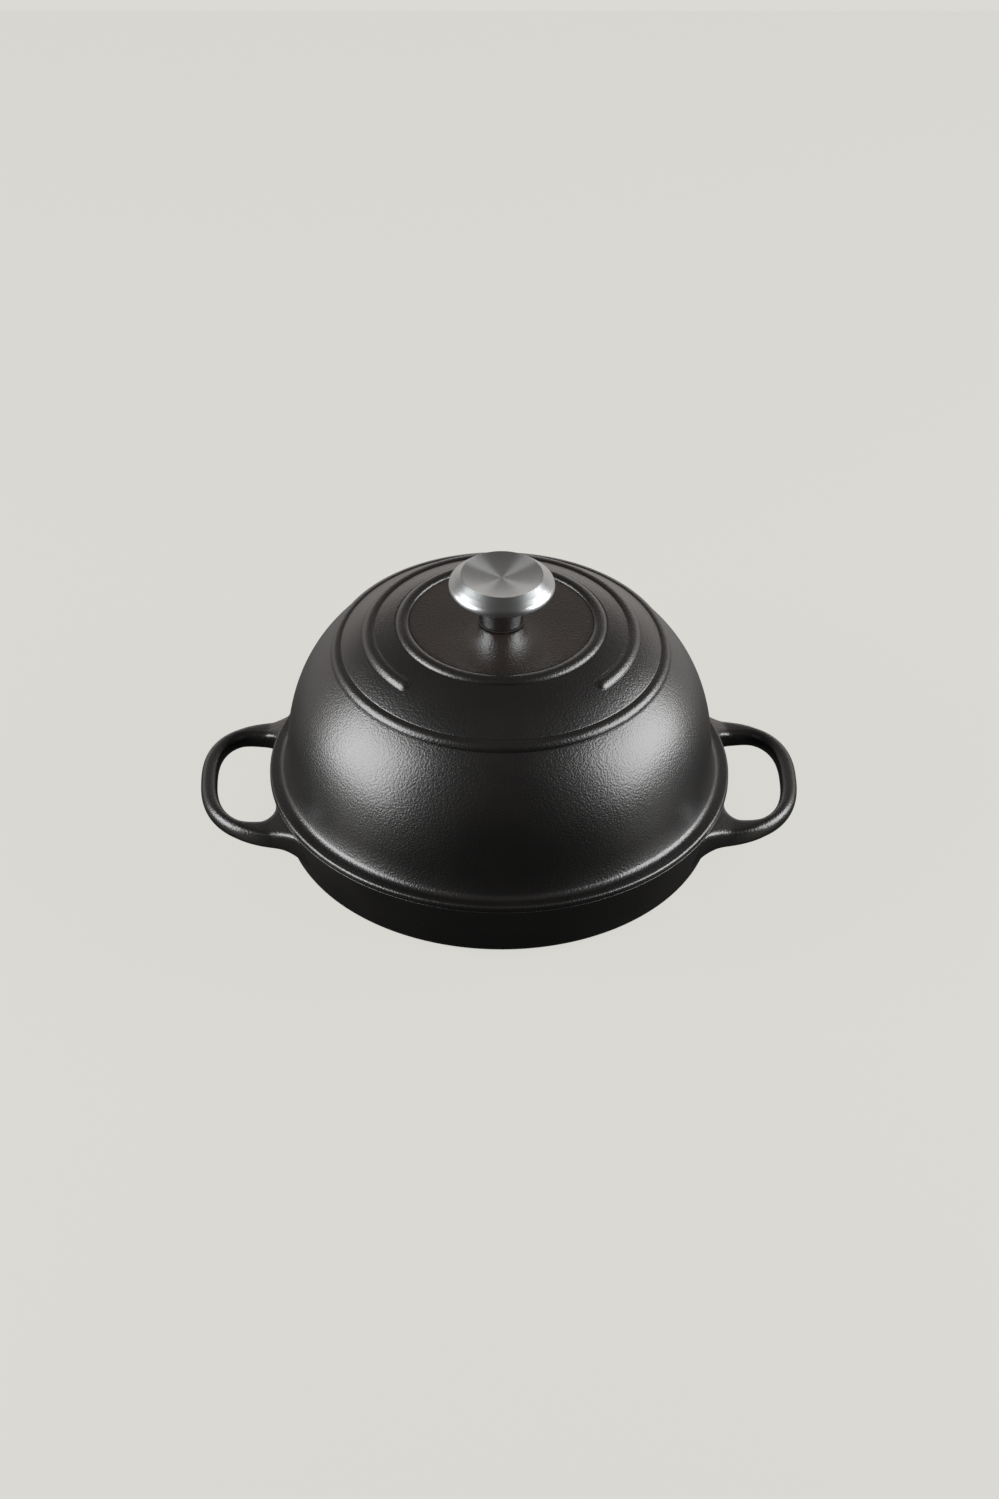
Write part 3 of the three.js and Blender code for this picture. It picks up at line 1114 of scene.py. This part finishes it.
    def rim_profile(self) -> Array:
        """Profile round the lip and the flange up to the foot fillet.

        Returns:
            Points of radius and height over the flange's underside.
        """
        pan, top = self.pan, self.flange_thickness
        lip_outer = pan.mouth_radius - self.lip_clearance
        lip_inner = lip_outer - self.lip_thickness
        start, end = self.dome_radius - self.wall, self.foot_fillet + self.rim_end
        corners = [
            (start, top + self.rim_start, 0),
            (start, top + self.step_height, self.step_edge),
            (lip_inner, 0, self.step_edge),
            (lip_inner, -self.lip_depth, self.lip_edge),
            (lip_outer - self.lip_depth * pan.inner_slope, -self.lip_depth, self.lip_edge),
            (lip_outer, 0, self.lip_root),
            (self.flange_radius, 0, self.flange_under),
            (self.flange_radius, top, self.flange_edge),
            (self.flared_radius_at(0.0), top, self.foot_fillet),
            (self.flared_radius_at(end), top + end, 0),
        ]
        return supported(rounded(corners))[1:-2]

    def build(self, enamel: Dressing) -> None:
        """Makes the lid's casting."""
        add_piece("dome_lid_casting", skin(self.grid(), Ends.JOINED), enamel, Body.LID, "dome_lid")


# Knob and its fixing


@dataclass
class Knob:
    """Hollow steel knob: pressed shell with a stem, dished cap, inner boss and seat ring."""

    lid: Lid
    height: float = 28.6
    radius: float = 28.2
    widest: float = 21.9
    flank_radius: float = 25.0
    flank_drop: float = 2.5
    flank_round: float = 5.0
    cap_radius: float = 21.72
    cap_dish: float = 2.2
    cap_edge: float = 0.05
    cap_gap: float = 0.05
    cap_rows: int = 25
    stem_radius: float = 11.8
    stem_edge: float = 0.3
    neck_radius: float = 13.2
    neck_height: float = 12.5
    neck_fillet: float = 9.0
    sheet: float = 1.3
    sheet_edge: float = 0.2
    skirt_rounding: float = 3.0
    skirt_top: float = 46.0
    skirt_bottom: float = 75.0
    skirt_rows: int = 25
    ledge: float = 2.0
    hollow_inset: float = 0.6
    hollow_edge: float = 0.3
    hollow_rows: int = 19
    sides: int = 160
    gasket_thickness: float = 0.8
    gasket_overhang: float = 0.5
    gasket_edges: tuple[float, float, float, float] = (0.15, 0.3, 0.3, 0.15)
    gasket_sides: int = 96
    boss_radius: float = 9.7
    boss_height: float = 12.8
    boss_edge: float = 0.5
    boss_sides: int = 64
    bore_depth: float = 10.4
    bore_edge: float = 0.4

    @property
    def stem_foot(self) -> float:
        """Height of the stem's foot, over the seat ring."""
        return self.lid.crown_top + 2 * self.lid.seat_gap + self.gasket_thickness

    @property
    def stem_top(self) -> float:
        """Height at which the stem would meet the underside of the head."""
        return self.stem_foot + self.neck_height

    @property
    def top(self) -> float:
        """Height of the cap's edge."""
        return self.stem_foot + self.height

    def skirt(self, rounding: float, rows: int) -> list[Corner]:
        """Arc of the skirt about a centre inside the widest line, from the underside to the flank.

        Args:
            rounding: Radius of the arc.
            rows: Points of the arc.

        Returns:
            Corners as for rounded.
        """
        angle = np.radians(np.linspace(-self.skirt_bottom, self.skirt_top, rows))
        x = self.radius - self.skirt_rounding + rounding * np.cos(angle)
        z = self.stem_foot + self.widest + rounding * np.sin(angle)
        return [(a, b, 0.0) for a, b in zip(x.tolist(), z.tolist())]

    def shell_corners(self) -> list[Corner]:
        """Closed profile of the shell: stem, underside, skirt, flank, ledge and the hollow inside.

        Returns:
            Corners as for rounded.
        """
        foot, shelf = self.stem_foot, self.top - self.sheet - self.lid.seat_gap
        under = shelf - self.sheet
        edge, opening = self.cap_radius + self.cap_gap, self.cap_radius - self.ledge
        inner = self.skirt(self.skirt_rounding - self.sheet, self.hollow_rows)
        hollow = [corner for corner in inner if corner[1] < under]
        return [
            (self.stem_radius, foot, self.stem_edge),
            (self.neck_radius, self.stem_top, self.neck_fillet),
            *self.skirt(self.skirt_rounding, self.skirt_rows),
            (self.flank_radius, self.top - self.flank_drop, self.flank_round),
            (edge, self.top, self.cap_edge),
            (edge, shelf, self.sheet_edge),
            (opening, shelf, self.sheet_edge),
            (opening, under, self.sheet_edge),
            (self.radius - self.skirt_rounding - self.hollow_inset, under, self.hollow_edge),
            *hollow[::-1],
            (self.neck_radius - self.sheet, self.stem_top + self.sheet, self.neck_fillet),
            (self.stem_radius - self.sheet, foot, self.sheet_edge),
        ]

    def cap_corners(self) -> list[Corner]:
        """Profile of the cap: a parabola of its dish on both faces, with a rounded edge.

        Returns:
            Corners as for rounded.
        """
        share = np.linspace(0, 1, self.cap_rows)
        dished = self.top - self.cap_dish * (1 - share**2)
        upper = np.stack([share * self.cap_radius, dished], axis=1)
        lower = upper - (0, self.sheet)
        edge = [(*lower[-1], self.cap_edge / 2), (*upper[-1], self.cap_edge)]
        under = [(a, b, 0.0) for a, b in lower[:-1].tolist()]
        over = [(a, b, 0.0) for a, b in upper[-2::-1].tolist()]
        return [*under, *edge, *over]

    def boss_corners(self) -> list[Corner]:
        """Profile of the boss round its blind bore, over a gap from the seat ring.

        Returns:
            Corners as for rounded.
        """
        hole, bottom = self.lid.screw_hole, self.stem_foot + self.lid.seat_gap
        end, top = bottom + self.bore_depth, bottom + self.boss_height
        return [
            (0, end, 0),
            (hole, end, self.bore_edge),
            (hole, bottom, self.bore_edge),
            (self.boss_radius, bottom, self.boss_edge),
            (self.boss_radius, top, self.boss_edge),
            (0, top, 0),
        ]

    def build(self, shell: Dressing, cap: Dressing, zinc: Dressing, rubber: Dressing) -> None:
        """Makes the shell, the cap, the boss and the seat ring.

        Args:
            shell: Finish of the shell.
            cap: Finish of the cap.
            zinc: Finish of the boss.
            rubber: Finish of the seat ring.
        """
        low = self.lid.crown_top + self.lid.seat_gap
        seat = oblong(
            (self.lid.screw_hole, self.stem_radius + self.gasket_overhang),
            (low, low + self.gasket_thickness),
            self.gasket_edges,
        )
        pressing = lathe(self.shell_corners(), self.sides)
        add_piece("knob_shell_pressing", pressing, shell, Body.LID, "knob_shell")
        add_piece("knob_cap_pressing", lathe(self.cap_corners(), self.sides), cap, Body.LID, "knob_cap")
        boss = lathe(self.boss_corners(), self.boss_sides)
        add_piece("knob_boss_turning", boss, zinc, Body.LID, "knob_boss")
        add_piece("knob_seat_ring", lathe(seat, self.gasket_sides), rubber, Body.LID, "knob_gasket")


@dataclass
class KnobFixing:
    """Screw with a cross recess, flat washer and split spring washer under the lid's ceiling."""

    lid: Lid
    screw_radius: float = 3.0
    screw_length: float = 18.9
    screw_edge: float = 0.2
    tip_edge: float = 0.5
    thread_pitch: float = 1.0
    thread_depth: float = 0.25
    thread_start: float = 2.0
    head_radius: float = 5.8
    head_height: float = 3.6
    drive_width: float = 1.5
    drive_length: float = 6.4
    drive_depth: float = 1.8
    drive_slope: float = 0.2
    drive_end: float = 0.3
    face_radius: float = 3.6
    face_rows: int = 19
    row_edge: float = 0.1
    row_length: float = 0.16
    screw_sides: int = 96
    slack: float = 0.01
    washer_radius: float = 8.0
    washer_thickness: float = 1.2
    washer_edges: tuple[float, float, float, float] = (0.2, 0.3, 0.2, 0.2)
    washer_sides: int = 72
    spring_radius: float = 5.4
    spring_thickness: float = 1.5
    spring_split: float = 1.2
    spring_edges: tuple[float, float, float, float] = (0.25, 0.25, 0.25, 0.25)
    spring_steps: int = 4
    spring_rows: int = 80

    @property
    def washer_top(self) -> float:
        """Height of the flat washer's upper face."""
        return self.lid.ceiling - self.lid.seat_gap

    @property
    def spring_top(self) -> float:
        """Height of the spring washer's upper face."""
        return self.washer_top - self.washer_thickness - self.lid.seat_gap

    @property
    def head_top(self) -> float:
        """Height of the face that the screw's head presses with."""
        return self.spring_top - self.spring_thickness - self.lid.seat_gap

    def screw_grid(self) -> Array:
        """Skin of the screw.

        The profile runs from the middle of the head's face round the head and up the shank. The
        face is pushed in by the drive's depth inside a cross of two bars, and the shank is cut by a
        sine wave that climbs by the pitch in each turn.

        Returns:
            Points by row along the profile and column round the axis.
        """
        bottom, tip = self.head_top - self.head_height, self.head_top + self.screw_length
        face = np.linspace(0, self.face_radius, self.face_rows).tolist()
        corners = [
            *((radius, bottom, 0.0) for radius in face),
            (self.head_radius, bottom, self.head_height / 2),
            (self.head_radius, self.head_top, self.screw_edge),
            (self.screw_radius, self.head_top, self.screw_edge),
            (self.screw_radius, tip, self.tip_edge),
            (0, tip, 0),
        ]
        profile = supported(rounded(corners), self.row_edge, self.row_length)
        x, y, z = np.moveaxis(turned(profile, self.screw_sides), -1, 0)
        near, far = np.minimum(np.abs(x), np.abs(y)), np.maximum(np.abs(x), np.abs(y))
        inside = np.clip((self.drive_width / 2 - near) / self.drive_slope, 0, 1)
        inside = inside * np.clip((self.drive_length / 2 - far) / self.drive_end, 0, 1)
        z = z + np.where(z < bottom + self.slack, self.drive_depth * inside, 0)
        turn = np.arctan2(y, x) / FULL_TURN
        wave = (1 + np.cos(FULL_TURN * (z / self.thread_pitch - turn))) / 2
        on_shank = profile[:, 1] > self.head_top + self.thread_start
        on_shank = on_shank & (profile[:, 0] > self.screw_radius - self.slack)
        shrink = 1 - np.where(on_shank[:, None], self.thread_depth * wave / self.screw_radius, 0)
        return np.stack([x * shrink, y * shrink, z], axis=-1)

    def spring_grid(self) -> Array:
        """Skin of the spring washer: a rounded oblong carried round the axis, with a split.

        Returns:
            Points by row round the axis and column round the section.
        """
        split = math.asin(self.spring_split / 2 / self.spring_radius)
        angle = np.linspace(split, FULL_TURN - split, self.spring_rows)[:, None]
        across = self.lid.screw_hole, self.spring_radius
        up = self.spring_top - self.spring_thickness, self.spring_top
        section = rounded(oblong(across, up, self.spring_edges), self.spring_steps)
        return capped(polar(section[:, 0], angle, section[:, 1]))

    def build(self, zinc: Dressing) -> None:
        """Makes the screw and the two washers.

        Args:
            zinc: Finish of all three.
        """
        screw = skin(self.screw_grid(), Ends.POLES)
        add_piece("knob_screw_threaded", screw, zinc, Body.LID, "knob_screw")
        spring = skin(self.spring_grid()[:, ::-1], Ends.POLES)
        add_piece("spring_washer_split", spring, zinc, Body.LID, "spring_washer")
        across = self.lid.screw_hole, self.washer_radius
        up = self.washer_top - self.washer_thickness, self.washer_top
        washer = lathe(oblong(across, up, self.washer_edges), self.washer_sides)
        add_piece("flat_washer_plain", washer, zinc, Body.LID, "flat_washer")


# Studio


@dataclass(frozen=True)
class Softbox:
    """Large soft lamp that faces the oven."""

    name: str
    azimuth: float
    elevation: float
    distance: float
    width: float
    height: float
    power: float

    def build(self, target: Vector) -> None:
        """Adds the lamp, hidden from the camera.

        Args:
            target: Place that it faces, in metres.
        """
        lamp = bpy.data.lights.new(self.name, "AREA")
        lamp.shape = "RECTANGLE"
        lamp.size, lamp.size_y, lamp.energy = self.width, self.height, self.power
        holder = placed(self.name, lamp)
        a, e = math.radians(self.azimuth), math.radians(self.elevation)
        away = Vector((math.sin(a) * math.cos(e), -math.cos(a) * math.cos(e), math.sin(e)))
        holder.location = target + away * self.distance
        holder.rotation_euler = (-away).to_track_quat("-Z", "Y").to_euler()
        holder.visible_camera = False


@dataclass(frozen=True)
class Floor:
    """Pale floor, which is dim in reflections apart from spill beside the oven and its rear part."""

    half_x: float = 0.42
    half_y: float = 0.95
    glow: float = 0.93
    lit: Colour = linear((214, 213, 208))
    dark: Colour = (0.015, 0.015, 0.015)
    dim: float = 0.03
    spill: float = 0.85
    spill_side: Span = (0.10, 0.20)
    spill_front: Span = (-0.20, -0.20 / 3)
    spill_back: Span = (-0.11, -0.03)
    rear: Span = (0.03, 0.50)
    rear_left: float = 0.7
    left_to_right: Span = (-0.2, 0.2)

    def reflected(self, x: Value, y: Value) -> Value:
        """Share of the floor's glow in reflections, by smooth steps over the floor.

        Args:
            x: Place to the right in metres.
            y: Place to the back in metres.

        Returns:
            The share.
        """
        near, far = self.spill_side
        spill = self.spill * (x * x).step(near**2, far**2)
        spill = spill * (1 - y.step(*self.spill_back)) * y.step(*self.spill_front)
        tilt = self.rear_left + (1 - self.rear_left) * x.step(*self.left_to_right)
        return self.dim + (spill + y.step(*self.rear) * tilt) * (1 - self.dim)

    def build(self, pale: Colour) -> None:
        """Makes the floor: mostly a glow to the camera, and in part lit, so that the shadow shows.

        Args:
            pale: Colour of the glow.
        """
        a, b = self.half_x, self.half_y
        mesh = bpy.data.meshes.new("floor")
        mesh.from_pydata([(-a, -b, 0), (a, -b, 0), (a, b, 0), (-a, b, 0)], [], [(0, 1, 2, 3)])
        floor = placed("floor", mesh)
        material, shader = new_material("pale_floor")
        mesh.materials.append(material)
        x, y, _ = shader.place()
        camera, gloss, through = shader.rays("Camera", "Glossy", "Transmission")
        colour = shader.blend(camera, self.dark, self.lit)
        matt = shader.node("ShaderNodeBsdfDiffuse", {"Color": colour})
        glow = shader.node("ShaderNodeEmission", {"Color": pale, "Strength": 1.0})
        share = (camera + through) * self.glow + gloss * self.reflected(x, y)
        surface = shader.mixed(share, matt, glow)
        shader.node("ShaderNodeOutputMaterial", {"Surface": surface})


@dataclass(frozen=True)
class Room:
    """Dim room that the enamel and the steel reflect, brighter behind the oven and above it."""

    tint: Colour = (1.0, 0.93, 0.89)
    dim: float = 0.045
    sky: float = 0.045
    sky_rise: Span = (0.2, 1.0)
    back: Span = (0.0, 0.9)
    wall: float = 0.29
    wall_fade: Span = (0.1, 1.0)
    band: float = 1.25
    band_fade: Span = (0.0, 0.4)
    middle: float = 0.8
    middle_fade: Span = (0.06, 0.2)
    left: float = 0.8
    left_to_right: Span = (-0.6, 0.2)
    ground: float = 0.4
    ground_rise: Span = (-0.05, 0.2)

    def level(self, x: Value, y: Value, z: Value) -> Value:
        """Strength of the light from a direction, by smooth steps over its parts.

        The wall behind glows and fades upwards. A band along its foot is brightest in the middle.
        Both are weaker to the left and below the horizon.

        Args:
            x: Part of the direction to the right.
            y: Part of the direction to the back.
            z: Part of the direction upwards.

        Returns:
            The strength.
        """
        middle = self.middle * (1 - (x * x).step(*self.middle_fade))
        behind = self.wall * (1 - z.step(*self.wall_fade))
        behind = behind + (self.band + middle) * (1 - z.step(*self.band_fade))
        behind = behind * (self.left + (1 - self.left) * x.step(*self.left_to_right))
        behind = behind * (self.ground + (1 - self.ground) * z.step(*self.ground_rise))
        return self.dim + self.sky * z.step(*self.sky_rise) + y.step(*self.back) * behind

    def build(self, pale: Colour) -> None:
        """Makes the world: pale to the camera and through glass, and the room to all other rays.

        Args:
            pale: Colour that the camera sees.
        """
        world = bpy.data.worlds.new("room")
        bpy.context.scene.world = world
        world.use_nodes = True
        shader = Shader(world.node_tree)
        level = self.level(*shader.place("Generated"))
        camera, through = shader.rays("Camera", "Transmission")
        room = shader.node("ShaderNodeBackground", {"Color": self.tint, "Strength": level})
        seen = shader.node("ShaderNodeBackground", {"Color": pale, "Strength": 1.0})
        surface = shader.mixed(camera + through, room, seen)
        shader.node("ShaderNodeOutputWorld", {"Surface": surface})


@dataclass
class Studio:
    """Camera at the photograph's angle, pale floor, dim room and two softboxes."""

    pale: Colour = linear((219, 218, 213))
    target_height: float = 48.8
    camera_distance: float = 2500.0
    elevation: float = 36.63
    azimuth: float = 1.65
    roll: float = 0.81
    focal_pixels: float = 4606.0
    picture_height: int = 1499
    sensor: float = 36.0
    softboxes: tuple[Softbox, ...] = (
        Softbox("softbox_left", -79, 15.5, 1.2, 1.01, 1.04, 23.5),
        Softbox("softbox_right", 85, 18.5, 1.2, 1.13, 0.92, 22.5),
    )

    def add_camera(self) -> None:
        """Camera from the fit to the photograph: turned, raised and rolled about the target."""
        a, e, r = (math.radians(part) for part in (self.azimuth, self.elevation, self.roll))
        forward = Vector((math.sin(a) * math.cos(e), math.cos(a) * math.cos(e), -math.sin(e)))
        level = Vector((math.cos(a), -math.sin(a), 0))
        upright = level.cross(forward)
        right = level * math.cos(r) + upright * math.sin(r)
        up = upright * math.cos(r) - level * math.sin(r)
        place = Vector((0, 0, self.target_height)) - forward * self.camera_distance
        lens = bpy.data.cameras.new("camera")
        lens.sensor_width = self.sensor
        lens.lens = self.focal_pixels * self.sensor / self.picture_height
        holder = placed("camera", lens)
        axes = Matrix((right, up, -forward)).transposed().to_4x4()
        holder.matrix_world = Matrix.Translation(place * MM) @ axes
        bpy.context.scene.camera = holder

    def build(self) -> None:
        """Sets up the camera, the floor, the room and the lamps."""
        bpy.context.scene.view_settings.view_transform = "Standard"
        self.add_camera()
        Floor().build(self.pale)
        Room().build(self.pale)
        for softbox in self.softboxes:
            softbox.build(Vector((0, 0, self.target_height * MM)))


def main() -> None:
    logging.basicConfig(level=logging.INFO, format="%(name)s: %(message)s")
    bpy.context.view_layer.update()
    LOG.info("frame of %d CAD nodes", len(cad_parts))
    pan = Pan()
    lid = Lid(pan)
    knob = Knob(lid)
    enamel = Dressing(SatinEnamel().material(), Slot.ENAMEL)
    zinc = Dressing(ZINC_PLATE.material(), Slot.HARDWARE)
    rubber = Dressing(SEAT_RUBBER.material(), Slot.GASKET)
    shell = Dressing(SHELL_STEEL.material(knob.stem_top), Slot.STEEL)
    # The cap's steel is painted lighter than the shell's, for a brighter top
    cap = Dressing(CAP_STEEL_PAINTED_LIGHTER.material(knob.stem_top), Slot.STEEL)
    pan.build(enamel)
    for side in Side:
        Handle(pan, side).build(enamel)
    lid.build(enamel)
    knob.build(shell, cap, zinc, rubber)
    KnobFixing(lid).build(zinc)
    Studio().build()


if __name__ == "__main__":
    main()
